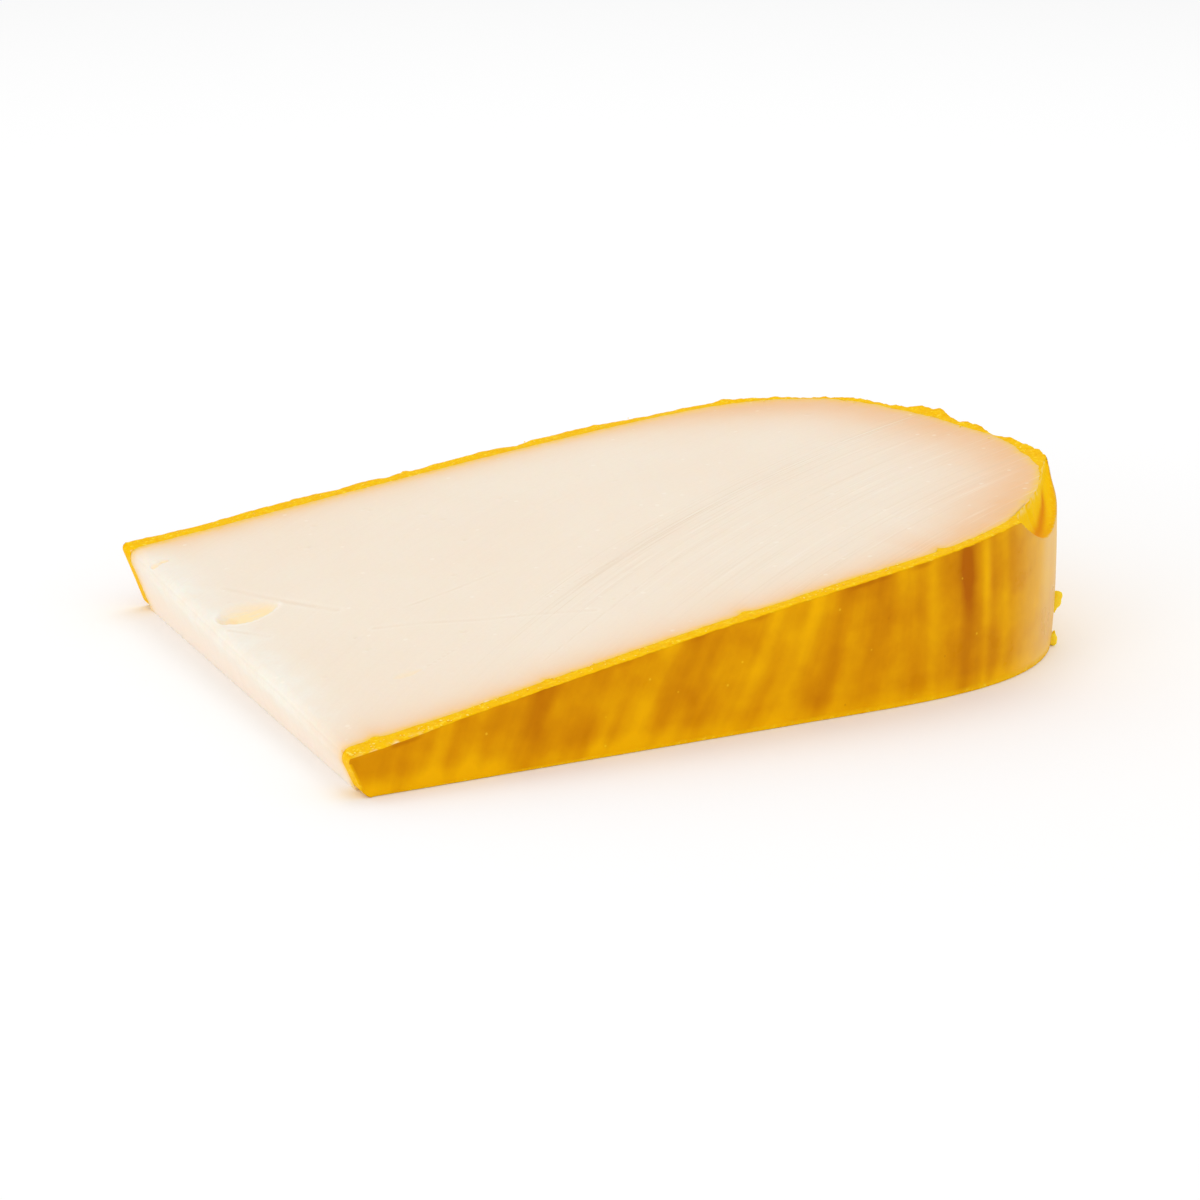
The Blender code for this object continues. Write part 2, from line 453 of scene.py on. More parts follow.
def peak(places, centre, half):
    """A pointed bump, 1 at its centre and 0 beyond its half width."""
    return np.clip(1.0 - np.abs(places - centre) / half, 0.0, 1.0) ** 1.3


def rind_width(run, level=1.0):
    """Depth of the coated rind at the upper cut. At the tip it narrows towards the lower cut."""
    places, widths = zip(*RIND_WIDTHS)
    width = np.interp(run, places, widths)
    line = as_points(run, 0.0, 0.0)
    ragged = 1.0 + 1.2 * smooth(-0.045, -0.025, run) * smooth(0.070, 0.040, run)
    width = width + ragged * (0.00016 * lumps(line, 0.0035, 31) + 0.00010 * lumps(line, 0.0012, 32))
    for centre, half, reach in SLIVERS:
        width = width + reach * peak(run, centre, half)
    tipward = smooth(-0.160, -0.176, run)
    return width * (1.0 - 0.10 * tipward * (1.0 - level))


def round_corner(first, second, radius):
    """Takes the sharp corner where two distances are both 0 off a section, as a fillet."""
    near = (first < radius) & (second < radius)
    short_first, short_second = radius - first, radius - second
    scale = np.where(near, radius / np.maximum(np.hypot(short_first, short_second), 1e-9), 1.0)
    return radius - short_first * scale, radius - short_second * scale


# ---------------------------------------------------------------- meshes


def make_block(columns, rows, levels):
    """A bmesh block from 0 to 1 each way, in columns along X, rows along Y and levels along Z."""
    shape = bmesh.new()
    bmesh.ops.create_grid(
        shape, x_segments=columns, y_segments=rows, size=0.5, matrix=Matrix.Translation((0.5, 0.5, 0.0)),
    )
    raised = bmesh.ops.extrude_face_region(shape, geom=shape.faces[:])["geom"]
    verts = [item for item in raised if isinstance(item, bmesh.types.BMVert)]
    bmesh.ops.translate(shape, vec=(0.0, 0.0, 1.0), verts=verts)
    upright = [edge for edge in shape.edges if abs(edge.verts[0].co.z - edge.verts[1].co.z) > 0.5]
    bmesh.ops.subdivide_edges(shape, edges=upright, cuts=levels - 1, use_grid_fill=True)
    bmesh.ops.recalc_face_normals(shape, faces=shape.faces[:])
    return shape


def warp(shape, change):
    """Moves every vertex of a bmesh. change takes and gives arrays of x, y and z."""
    points = np.array([vert.co for vert in shape.verts])
    for vert, point in zip(shape.verts, as_points(*change(*points.T))):
        vert.co = point


def refine(shape, wanted, cuts):
    """Subdivides the edges between wanted vertices. wanted says true or false for an array of points."""
    points = np.array([vert.co for vert in shape.verts])
    for vert, found in zip(shape.verts, wanted(points)):
        vert.tag = bool(found)
    edges = [edge for edge in shape.edges if all(vert.tag for vert in edge.verts)]
    bmesh.ops.subdivide_edges(shape, edges=edges, cuts=cuts, use_grid_fill=True)


def to_mesh(shape, name):
    mesh = bpy.data.meshes.new(name)
    shape.to_mesh(mesh)
    shape.free()
    return mesh


def get_points(mesh):
    points = np.zeros(len(mesh.vertices) * 3)
    mesh.vertices.foreach_get("co", points)
    return points.reshape(-1, 3)


def set_points(mesh, points):
    mesh.vertices.foreach_set("co", points.ravel())
    mesh.update()


def store(mesh, name, values):
    """Keeps one number or one vector for each vertex, for the material to read."""
    values = np.asarray(values, dtype=float)
    vector = values.ndim == 2
    layer = mesh.attributes.new(name, "FLOAT_VECTOR" if vector else "FLOAT", "POINT")
    layer.data.foreach_set("vector" if vector else "value", values.ravel())


def place_piece(name, mesh, material, replaced=()):
    """Adds a finished mesh to the scene as a piece of the cheese."""
    mesh.materials.append(material)
    mesh.shade_smooth()
    mesh.set_sharp_from_angle(angle=SHARP_TURN)
    piece = bpy.data.objects.new(name, mesh)
    bpy.context.scene.collection.objects.link(piece)
    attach(piece, BODY)
    if replaced:
        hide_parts(*replaced)


# ---------------------------------------------------------------- materials


def new_material(name):
    """A material with only its output and its Principled shader, which are given back with its tree."""
    material = bpy.data.materials.new(name)
    material.use_nodes = True
    tree = material.node_tree
    return material, tree, tree.nodes["Principled BSDF"]


def feed(tree, node, inputs):
    """Sets a node's inputs, each to a value or to another node's output."""
    for key, value in inputs.items():
        if isinstance(value, bpy.types.NodeSocket):
            tree.links.new(value, node.inputs[key])
        else:
            node.inputs[key].default_value = value


def add_node(tree, kind, inputs=None, **settings):
    """Adds a node with these inputs. The settings are the node's own options."""
    made = tree.nodes.new(kind)
    for name, value in settings.items():
        setattr(made, name, value)
    feed(tree, made, inputs or {})
    return made


def attribute(tree, name, output="Fac"):
    return add_node(tree, "ShaderNodeAttribute", attribute_name=name).outputs[output]


def colour(value):
    return (*value, 1.0)


def mix(tree, share, *colours):
    """Mixes two colours, each one of the settings' colours or an output."""
    first, second = (item if isinstance(item, bpy.types.NodeSocket) else colour(item) for item in colours)
    return add_node(tree, "ShaderNodeMix", {0: share, 6: first, 7: second}, data_type="RGBA").outputs[2]


def calculate(tree, operation, first, second=0.0, clamp=False):
    inputs = {0: first, 1: second}
    return add_node(tree, "ShaderNodeMath", inputs, operation=operation, use_clamp=clamp).outputs[0]


def times(tree, first, second):
    return calculate(tree, "MULTIPLY", first, second)


def rescale(tree, value, low, high, to_low=0.0, to_high=1.0):
    """Maps low to high onto to_low to to_high, evenly and held at the ends."""
    inputs = {"Value": value, "From Min": low, "From Max": high, "To Min": to_low, "To Max": to_high}
    return add_node(tree, "ShaderNodeMapRange", inputs).outputs["Result"]


def stretched(tree, vector, scale):
    inputs = {"Vector": vector, "Scale": scale}
    return add_node(tree, "ShaderNodeMapping", inputs).outputs["Vector"]


def noise_output(tree, vector, scale, detail=3.0, roughness=0.5):
    inputs = {"Vector": vector, "Scale": scale, "Detail": detail, "Roughness": roughness}
    return add_node(tree, "ShaderNodeTexNoise", inputs).outputs["Fac"]


def specks(tree, vector, scale, size, share):
    """1 in small round spots, one in each cell of this scale, of which only a share are kept."""
    cells = add_node(tree, "ShaderNodeTexVoronoi", {"Vector": vector, "Scale": scale})
    spot = rescale(tree, cells.outputs["Distance"], size, size * 0.5)
    pick = add_node(tree, "ShaderNodeSeparateColor", {"Color": cells.outputs["Color"]}).outputs["Red"]
    return times(tree, spot, calculate(tree, "LESS_THAN", pick, share))


def bump(tree, height, distance, strength=1.0, below=None):
    inputs = {"Height": height, "Distance": distance, "Strength": strength}
    if below is not None:
        inputs["Normal"] = below
    return add_node(tree, "ShaderNodeBump", inputs).outputs["Normal"]


def arrange(tree):
    """Lays the nodes out in columns, each to the left of all that it feeds."""
    column = {node: 0 for node in tree.nodes}
    for _ in range(len(column)):
        for link in tree.links:
            column[link.from_node] = max(column[link.from_node], column[link.to_node] + 1)
    filled = {}
    for node, place in column.items():
        filled[place] = filled.get(place, 0) + 1
        node.location = (-220 * place, -260 * filled[place])


def paste_material(settings):
    """Cream paste, riper by the rind, with wire marks, specks, yellow eyes and painted light and shade."""
    material, tree, shader = new_material("cheese_paste")
    place = add_node(tree, "ShaderNodeTexCoord").outputs["Object"]
    wire = attribute(tree, "wire", "Vector")
    wired = attribute(tree, "wired")
    highlight_and_shade = attribute(tree, "highlight_and_shade")

    cloud = noise_output(tree, place, 45.0, detail=4.0)
    fog = noise_output(tree, place, 210.0, detail=3.0)
    cream = mix(tree, rescale(tree, cloud, 0.35, 0.65, 0.0, 0.20), settings.cream, settings.pale)
    # Painted highlight: a pale band along the rounded upper edge of the tip.
    highlit = times(tree, attribute(tree, "tip"), rescale(tree, fog, 0.35, 0.65, 0.55, 1.0))
    pale = mix(tree, highlit, cream, settings.pale)
    ripeness = times(tree, attribute(tree, "ripe"), rescale(tree, fog, 0.25, 0.75, 0.86, 1.10))
    ripe = mix(tree, calculate(tree, "MINIMUM", ripeness, 1.0), pale, settings.ripe)
    ripe = mix(tree, attribute(tree, "firm"), ripe, settings.firm)
    # Painted light low on the tip cut, lifting the shade by the floor.
    ripe = mix(tree, attribute(tree, "base"), ripe, settings.base)
    edge_noise = rescale(tree, noise_output(tree, place, 900.0), 0.3, 0.7, 0.55, 1.35)
    stain = calculate(tree, "MULTIPLY", attribute(tree, "stain"), edge_noise, clamp=True)
    stained = mix(tree, stain, ripe, settings.stain)
    ridged = noise_output(tree, stretched(tree, place, (260.0, 900.0, 1.0)), 1.0, detail=2.0)
    in_eye = times(tree, attribute(tree, "eye"), rescale(tree, ridged, 0.38, 0.50, 0.55, 1.0))
    eyed = mix(tree, in_eye, stained, settings.eye)

    # The wire's relief, which the bump also gives, is painted into the colour: darker threads, bands and
    # crisp lines are painted shade, and paler streaks are painted highlight.
    fine = noise_output(tree, stretched(tree, wire, (20.0, 1700.0, 1.0)), 1.0, detail=3.0, roughness=0.55)
    coarse = noise_output(tree, stretched(tree, wire, (9.0, 620.0, 1.0)), 1.0, detail=2.0)
    threads = times(tree, rescale(tree, fine, 0.54, 0.66), wired)
    bands = times(tree, rescale(tree, coarse, 0.46, 0.66), wired)
    shaded = mix(tree, times(tree, threads, 0.30), eyed, settings.shade)
    shaded = mix(tree, times(tree, bands, 0.05), shaded, settings.shade)
    broken = rescale(tree, noise_output(tree, stretched(tree, wire, (60.0, 400.0, 1.0)), 1.0), 0.40, 0.60)
    # Painted highlight along the paler streaks.
    lifted = times(tree, rescale(tree, fine, 0.44, 0.34, 0.0, 0.42), wired)
    lifted = times(tree, lifted, broken)
    streaked = mix(tree, lifted, shaded, settings.streak_highlight)

    radius = add_node(tree, "ShaderNodeSeparateXYZ", {"Vector": wire}).outputs["Y"]
    for place_of_line, half_width in WIRE_LINES:
        aside = calculate(tree, "ABSOLUTE", calculate(tree, "SUBTRACT", radius, place_of_line))
        line = times(tree, rescale(tree, aside, half_width, 0.0, 0.0, 0.66), broken)
        line = times(tree, line, rescale(tree, wired, 0.35, 0.8))
        streaked = mix(tree, line, streaked, settings.shade)

    white = specks(tree, place, 520.0, 0.26, 0.07)
    specked = mix(tree, times(tree, white, 0.28), streaked, settings.speck)
    # Painted light: above 0 the mark is a painted highlight, below 0 painted shade.
    raised = calculate(tree, "MAXIMUM", highlight_and_shade, 0.0)
    painted_shade = calculate(tree, "MAXIMUM", times(tree, highlight_and_shade, -0.75), 0.0)
    marked = mix(tree, calculate(tree, "MINIMUM", raised, 1.0), specked, settings.lip_highlight)
    marked = mix(tree, calculate(tree, "MINIMUM", painted_shade, 1.0), marked, settings.shade)
    grain = noise_output(tree, place, 1600.0, detail=4.0, roughness=0.6)
    grained = mix(tree, rescale(tree, grain, 0.30, 0.75, 0.0, 0.08), marked, settings.shade)
    rough = rescale(tree, cloud, 0.3, 0.7, 0.42, 0.54)
    wires = bump(tree, times(tree, fine, wired), 0.00016, 1.0)
    grains = bump(tree, grain, 0.00003, 0.6, below=wires)
    feed(tree, shader, {
        "Base Color": grained,
        "Roughness": rough,
        "IOR": 1.38,
        "Subsurface Weight": 0.30,
        "Subsurface Radius": (1.0, 0.62, 0.36),
        "Subsurface Scale": 0.0016,
        "Normal": grains,
    })
    arrange(tree)
    return material


def rind_material(settings):
    """Amber coating in upright brush strokes, bright crumbly yellow where cut, and painted light and shade.
    """
    material, tree, shader = new_material("coated_rind")
    place = add_node(tree, "ShaderNodeTexCoord").outputs["Object"]
    brush = attribute(tree, "brush", "Vector")
    cut = attribute(tree, "cut")

    fine = noise_output(tree, stretched(tree, brush, (520.0, 60.0, 1.0)), 1.0, detail=3.0)
    cloud = noise_output(tree, place, 150.0, detail=4.0)
    tone = calculate(tree, "ADD", attribute(tree, "tone"), rescale(tree, fine, 0.3, 0.7, -0.08, 0.08))
    tone = calculate(tree, "ADD", tone, rescale(tree, cloud, 0.3, 0.7, -0.26, 0.26))
    stroke = add_node(tree, "ShaderNodeValToRGB", {"Fac": rescale(tree, tone, -1.0, 1.0)})
    stops = ((0.08, settings.dark), (0.50, settings.amber), (0.86, settings.light))
    ramp = stroke.color_ramp
    ramp.elements.new(0.5)
    for stop, (position, value) in zip(ramp.elements, stops):
        stop.position = position
        stop.color = colour(value)
    dust = specks(tree, place, 800.0, 0.20, 0.05)
    coated = mix(tree, times(tree, dust, 0.40), stroke.outputs["Color"], settings.crumb)
    soot = specks(tree, place, 260.0, 0.07, 0.06)
    # On the rim a painted sheen, a dull pale reflection, veils the coating. Elsewhere dark specks show.
    off_sheen = rescale(tree, attribute(tree, "sheen"), 0.0, 1.0, 0.35, 0.0)
    coated = mix(tree, times(tree, soot, off_sheen), coated, settings.dark)
    drawn = noise_output(tree, stretched(tree, brush, (130.0, 26.0, 1.0)), 1.0, detail=3.0)
    veil = times(tree, attribute(tree, "sheen"), rescale(tree, drawn, 0.30, 0.70, 0.27, 0.50))
    coated = mix(tree, veil, coated, settings.sheen)

    crumbs = noise_output(tree, place, 1300.0, detail=4.0, roughness=0.65)
    clumps = noise_output(tree, place, 420.0, detail=3.0)
    sliced = mix(tree, rescale(tree, clumps, 0.35, 0.62, 0.0, 0.45), settings.cut, settings.light)
    sliced = mix(tree, rescale(tree, crumbs, 0.46, 0.36, 0.0, 0.30), sliced, settings.crumb_and_hollow_shade)
    sliced = mix(tree, rescale(tree, crumbs, 0.56, 0.68, 0.0, 0.90), sliced, settings.crumb)
    # Painted light that brightens the scooped corner.
    sliced = mix(tree, times(tree, attribute(tree, "scoop_brightening"), 0.75), sliced, settings.scoop_brightening)
    # Painted shade along the scoop's hollow.
    sliced = mix(tree, attribute(tree, "crumb_and_hollow_shade"), sliced, settings.crumb_and_hollow_shade)
    # The pale torn crest of the scoop, and a painted highlight along the outer upper edge near the front
    # tip.
    sliced = mix(tree, attribute(tree, "burr_and_highlight"), sliced, settings.burr_and_highlight)
    surface = mix(tree, cut, coated, sliced)
    coat_rough = rescale(tree, cloud, 0.3, 0.7, 0.26, 0.38)
    rough = add_node(tree, "ShaderNodeMix", {0: cut, 2: coat_rough, 3: 0.6}, data_type="FLOAT").outputs[0]

    skin = bump(tree, fine, 0.00003, 0.5)
    pebbled = bump(tree, noise_output(tree, place, 700.0, detail=2.0), 0.00002, 0.5, below=skin)
    rough_cut = bump(tree, times(tree, crumbs, cut), 0.00022, 0.9, below=pebbled)
    feed(tree, shader, {
        "Base Color": surface,
        "Roughness": rough,
        "IOR": 1.45,
        "Specular IOR Level": 0.04,
        "Subsurface Weight": 0.12,
        "Subsurface Radius": (1.0, 0.45, 0.02),
        "Subsurface Scale": 0.0010,
        "Normal": rough_cut,
    })
    arrange(tree)
    return material


def crumb_material(settings):
    """Crumbs of coating, from deep to pale yellow."""
    material, tree, shader = new_material("crumbs")
    place = add_node(tree, "ShaderNodeTexCoord").outputs["Object"]
    shift = rescale(tree, noise_output(tree, place, 700.0, detail=1.0), 0.35, 0.65)
    crumb = mix(tree, shift, settings.crumb, settings.pale_crumb)
    feed(tree, shader, {"Base Color": crumb, "Roughness": 0.7, "Specular IOR Level": 0.1})
    arrange(tree)
    return material


# ---------------------------------------------------------------- the paste


def from_tip(place):
    """A mark's place in plan, from its distance from the tip and from the middle plane."""
    along, across = place
    return CAD_LOW.x + TIP_OVERHANG + along, across


def plan_patch(wedge, tuck):
    """A function that spreads a square over the wedge's plan, inside the rind."""

    def edge(run, level):
        x, y = wedge.inside(run, rind_width(run, level) - tuck)
        return np.stack((x, y))

    def spread(along, across, level):
        along = along * (0.62 + 0.38 * along)
        level_there = 1.0 - (1.0 - level) ** 1.5
        front = edge(wedge.front_run + (-CORNER_RUN - wedge.front_run) * along, level_there)
        back = edge(wedge.back_run + (CORNER_RUN - wedge.back_run) * along, level_there)
        rim = edge(-CORNER_RUN + 2 * CORNER_RUN * across, level_there)
        front_tip, front_rim, back_tip, back_rim = (
            edge(np.full_like(along, run), level_there)
            for run in (wedge.front_run, -CORNER_RUN, wedge.back_run, CORNER_RUN)
        )
        tip = front_tip + (back_tip - front_tip) * across
        corners = (
            (1 - along) * (1 - across) * front_tip + along * (1 - across) * front_rim
            + (1 - along) * across * back_tip + along * across * back_rim
        )
        x, y = (1 - across) * front + across * back + (1 - along) * tip + along * rim - corners
        return x, y, level_there

    return spread


def segment_distance(x, y, start, end):
    """Distance in plan from each point to a straight stretch."""
    start, end = np.array(start), np.array(end)
    ahead = end - start
    share = np.clip(((x - start[0]) * ahead[0] + (y - start[1]) * ahead[1]) / (ahead @ ahead), 0.0, 1.0)
    return np.hypot(x - start[0] - share * ahead[0], y - start[1] - share * ahead[1])


def scratch_distance(x, y, places):
    """Distance in plan from each point to a scratch that passes through these places."""
    points = [from_tip(place) for place in places]
    return np.min([segment_distance(x, y, start, end) for start, end in zip(points, points[1:])], axis=0)


def eye_reach(x, y, eye):
    """How far from an eye's middle each point is: 1 at its lip. Its outline is pointed towards the rim."""
    centre, half_length, half_width, _, _ = eye
    along, across = from_tip(centre)
    ahead = (x - along) / half_length
    width = half_width * np.clip(1.0 - 0.25 * ahead, 0.6, 1.2) * np.where(y > across, 1.25, 1.0)
    return np.hypot(ahead, (y - across) / width)


def pit_list(count=46):
    """Small pits scattered over the upper cut, each a place, a radius and a depth."""
    scatter = random.Random(5)
    pits = []
    for _ in range(count):
        place = (scatter.uniform(0.004, 0.125), scatter.uniform(-0.042, 0.042))
        radius = scatter.uniform(0.0002, 0.0005)
        pits.append((place, radius, radius * scatter.uniform(0.2, 0.5)))
    return pits


def wire_polar(x, y):
    """Distance along the wire's sweep, and distance from the point that it turned about."""
    pivot_x, pivot_y = WIRE_PIVOT
    angle = np.arctan2(y - pivot_y, x - pivot_x)
    return angle * WIRE_RADIUS, np.hypot(x - pivot_x, y - pivot_y)


def wire_marks(x, y):
    """How strongly the wire has marked each point: most in a band from the front side to the rim."""
    _, radius = wire_polar(x, y)
    centre, half_width = WIRE_BAND
    band = hump(radius - centre, half_width) * smooth(-0.062, -0.015, x)
    low = 0.62 * smooth(-0.035, 0.015, x) * smooth(0.292, 0.284, radius)
    return np.clip(np.maximum(band, low), 0.12, 1.0)


def ridges(x, y):
    """Fine straight ridges along the wire's path, from about -1 to 1."""
    along, radius = wire_polar(x, y)
    points = as_points(radius, along * 0.02, 0.0)
    return 0.6 * lumps(points, 0.0022, 3) + 0.4 * lumps(points, 0.0011, 4)


def paste_relief(x, y, distance, settings):
    """The upper cut's relief at each point, how far in an eye it is, and its painted highlight or shade."""
    flat = as_points(x, y, 0.0)
    relief = settings.wave * lumps(flat, 0.022, 1) + settings.ridge * ridges(x, y) * wire_marks(x, y)
    relief = relief * smooth(0.0, 0.0040, distance)
    eyed = np.zeros_like(x)
    highlight_and_shade = np.zeros_like(x)
    for eye in EYES:
        centre, _, half_width, depth, yellow = eye
        reach = eye_reach(x, y, eye)
        far = smooth(-0.2, 1.0, (y - from_tip(centre)[1]) / half_width)
        bowl = 1.0 - np.clip(reach, 0.0, 1.0) ** (5.0 - 3.2 * far)
        relief -= depth * bowl
        eyed = np.maximum(eyed, yellow * bowl * (1.0 - 0.35 * far))
        # A painted highlight on the near lip of a deep eye.
        lip_highlight = hump(reach - 1.10, 0.07) * (1.0 - far)
        highlight_and_shade += 0.40 * lip_highlight * (depth > DEEP_EYE)
    for places, width, depth in SCRATCHES:
        away = scratch_distance(x, y, places)
        fading = 0.35 + 0.65 * smooth(-0.35, 0.35, lumps(flat, 0.0045, 21))
        relief -= 0.4 * depth * fading * hump(away, width * 0.6)
        # Painted shade in the scratch, and a painted highlight on each side of it.
        highlight_and_shade -= 0.34 * fading * hump(away, width * 0.8)
        highlight_and_shade += 0.14 * fading * hump(away - width * 1.7, width * 0.7)
    for place, radius, depth in pit_list():
        along, across = from_tip(place)
        # Painted shade in the pit, and a painted highlight beside it on one side.
        spot = np.exp(-(((x - along) ** 2 + (y - across) ** 2) / radius**2))
        beside = np.exp(-(((x - along + radius) ** 2 + (y - across + 0.8 * radius) ** 2) / radius**2))
        relief -= depth * spot
        highlight_and_shade += 0.16 * beside - 0.24 * spot
    return relief, eyed, highlight_and_shade


def detail_zone(x, y):
    """True where the upper cut has a mark too fine for its plain faces."""
    fine = np.zeros_like(x, dtype=bool)
    for eye in EYES:
        fine |= eye_reach(x, y, eye) < 1.25
    for places, _, _ in SCRATCHES:
        fine |= scratch_distance(x, y, places) < 0.0010
    for place, radius, _ in pit_list():
        along, across = from_tip(place)
        fine |= np.hypot(x - along, y - across) < radius * 2.2
    return fine


def rind_distance(wedge, x, y):
    """Distance of each point from the rind's inner face, and where on the path that is."""
    runs = np.arange(wedge.front_run, wedge.back_run, 0.0005)
    edge_x, edge_y = wedge.inside(runs, rind_width(runs))
    tree = kdtree.KDTree(len(runs))
    for number, place in enumerate(zip(edge_x, edge_y)):
        tree.insert((*place, 0.0), number)
    tree.balance()
    found = [tree.find((*place, 0.0)) for place in zip(x, y)]
    return np.array([hit[2] for hit in found]), runs[[hit[1] for hit in found]]


def build_paste(wedge, settings):
    """The paste: a square block spread over the plan, refined at its marks, lifted and marked."""

    def on_top(points):
        return points[:, 2] > TOP_LEVEL

    reach_in_rim = 0.045  # about how far the paste goes on past the end of the flat sides
    columns = round((wedge.flat_end - wedge.tip_x + reach_in_rim) / settings.face_size)
    rows = round(2 * wedge.half / settings.face_size)
    shape = make_block(columns, rows, levels=14)
    warp(shape, plan_patch(wedge, settings.tuck))
    refine(shape, on_top, cuts=1)
    refine(shape, lambda points: on_top(points) & detail_zone(points[:, 0], points[:, 1]), cuts=1)
    mesh = to_mesh(shape, "cheese_paste")

    plan_x, y, level = get_points(mesh).T
    x, z = wedge.stand(plan_x, y, level)
    distance, run = rind_distance(wedge, plan_x, y)
    relief, eyed, highlight_and_shade = paste_relief(x, y, distance, settings)
    top = level > TOP_LEVEL
    z = z + np.where(top, relief, 0.0)
    x, z = round_tip(wedge, settings, x, y, z, plan_x, level)

    rimward = smooth(0.095, 0.050, np.abs(run))
    ripe = np.exp(-((distance / (0.0042 + 0.0063 * rimward)) ** (1.07 + 0.5 * rimward)))
    smear = 0.0008 + 0.0006 * smooth(0.0, 0.05, run)
    from_edge = wedge.from_tip_cut(plan_x, y)
    along, radius = wire_polar(x, y)
    # The pale band along the tip's rounded upper edge is a painted highlight.
    highlit = hump(from_edge - 0.0016, 0.0042) * smooth(0.1, 0.8, level) * smooth(-0.056, -0.022, y)
    set_points(mesh, as_points(x, y, z))
    store(mesh, "ripe", ripe * (0.45 + 0.55 * smooth(-0.002, 0.008, from_edge)))
    store(mesh, "stain", np.exp(-((distance / smear) ** 1.2)))
    store(mesh, "tip", highlit)
    store(mesh, "firm", 0.34 * ripe * rimward)
    # Painted light: brightens the foot of the tip cut, where shade falls by the floor.
    store(mesh, "base", smooth(0.004, 0.0, from_edge) * smooth(0.85, 0.0, level))
    store(mesh, "eye", np.where(top, np.clip(eyed, 0.0, 1.0), 0.0))
    # Painted highlight and shade at the eyes' lips, the scratches and the pits.
    store(mesh, "highlight_and_shade", np.where(top, highlight_and_shade, 0.0))
    store(mesh, "wire", as_points(along, radius, z))
    store(mesh, "wired", np.where(top | (level < LOW_LEVEL), wire_marks(x, y), 0.2))
    place_piece("cheese_paste", mesh, paste_material(settings), ("paste",))


def round_tip(wedge, settings, x, y, z, plan_x, level):
    """Rounds the edge between the upper cut and the tip cut."""
    from_cut = wedge.from_tip_cut(plan_x, y)
    top = level > TOP_LEVEL
    inward = np.where(top, from_cut, 0.0)
    down = np.where(top, 0.0, wedge.upper_cut(x, y) - z)
    new_in, new_down = round_corner(inward, down, settings.tip_round)
    active = top | (np.abs(from_cut) < 1e-5)
    move_in = np.where(active, new_in - inward, 0.0)
    move_down = np.where(active, new_down - down, 0.0)
    sizes = wedge.sizes
    return x + move_in + sizes.tip_slope * move_down, z - move_down + sizes.taper_front * move_in


# ---------------------------------------------------------------- the coated rind


def stroke_list(wedge):
    """Every brush stroke round the wedge: its place on the path, half width and tone."""
    tip = wedge.front_run
    strokes = [(tip + place, width, tone) for place, width, tone in FRONT_STROKES]
    scatter = random.Random(11)
    place = tip + 0.122
    while place < wedge.back_run:
        strokes.append((place, scatter.uniform(0.0012, 0.0032), scatter.uniform(-1.0, 0.9)))
        place += scatter.uniform(0.004, 0.009)
    return strokes


def brush_place(wedge, run, z):
    """Where on the path the brush stroke through each point began: strokes lean near the tip."""
    from_tip_end = np.minimum(run - wedge.front_run, wedge.back_run - run)
    lean = STROKE_LEAN * (1.0 - smooth(0.060, 0.100, from_tip_end))
    return run + np.where(run < 0, -1.0, 1.0) * lean * (z - STROKE_FOOT)


def coating_tone(wedge, run, z, height):
    """How light the coating is, from about -1 to 1."""
    place = brush_place(wedge, run, z)
    patch = as_points(place, z * 0.55, 0.0)
    flat = as_points(place, z * 0.12, 0.0)
    tone = np.zeros_like(run)
    for centre, width, strength in stroke_list(wedge):
        tone += strength * hump(place - centre, width)
    tone *= 0.62 + 0.75 * lumps(patch, 0.009, 8)
    tone = 0.75 * tone + 0.24 * lumps(flat, 0.0050, 2) + 0.10 * lumps(flat, 0.0020, 6)
    tone = tone + 0.42 * lumps(patch, 0.012, 7)
    rimward = smooth(-0.064, -0.052, run) * smooth(0.080, 0.050, run)
    tone = tone * (1.0 - 0.62 * rimward) + 0.30 * rimward + 0.55 * smooth(0.0042, 0.0004, z)
    # Painted shade: a thin darker line just under the coating's upper edge.
    edge_shade = 0.5 * hump(height - z - 0.0004, 0.00030)
    return tone - edge_shade * smooth(0.0, 0.4, lumps(as_points(run, 0.0, 0.0), 0.006, 9))


def scoop_shape(run, settings):
    """How far down and how far in the scooped corner reaches at each place on the path."""
    before = run < settings.scoop_run
    half = np.where(before, settings.scoop_half, SCOOP_TAIL * settings.scoop_half)
    away = np.clip(np.abs(run - settings.scoop_run) / half, 0.0, 1.0)
    low = settings.scoop_drop * (1.0 - away ** np.where(before, 1.9, 1.5))
    return low, rind_width(run) * 0.97 * (1.0 - away**6.0)


def scoop(run, depth, drop, settings):
    """Moves a section's outer and upper faces onto the scoop.

    Gives the new depth and drop, and each point's place across the scoop, which is -1 off it.
    """
    low, deep = scoop_shape(run, settings)
    outer = (depth < ON_FACE) & (drop < low)
    upper = (drop < ON_FACE) & (depth < deep)
    inside = (outer | upper) & (low > 1e-5)
    place = np.where(outer, low - drop, low + depth)
    share = np.clip(place / np.maximum(low + deep, 1e-6), 0.0, 1.0)
    hollow = settings.scoop_hollow * np.sin(math.pi * share**0.6) * np.clip(low / 0.004, 0.0, 1.0)
    new_depth = deep * share + hollow
    new_drop = low * (1.0 - share) + hollow * 0.5
    across = np.where(inside, share, -1.0)
    return np.where(inside, new_depth, depth), np.where(inside, new_drop, drop), across


def rind_block(wedge, settings):
    """A long block laid along the outer path: x is the place on the path, y the share in, z the level."""
    span = wedge.back_run - wedge.front_run
    near_scoop = settings.scoop_half * SCOOP_TAIL

    def scooped(points):
        return (np.abs(points[:, 0] - settings.scoop_run) < near_scoop) & (points[:, 2] > 0.70)

    shape = make_block(round(span / settings.face_size), 6, levels=28)
    warp(shape, lambda x, y, z: (wedge.front_run + x * span, y, 1.0 - (1.0 - z) ** 1.4))
    refine(shape, scooped, cuts=3)
    return to_mesh(shape, "coated_rind")


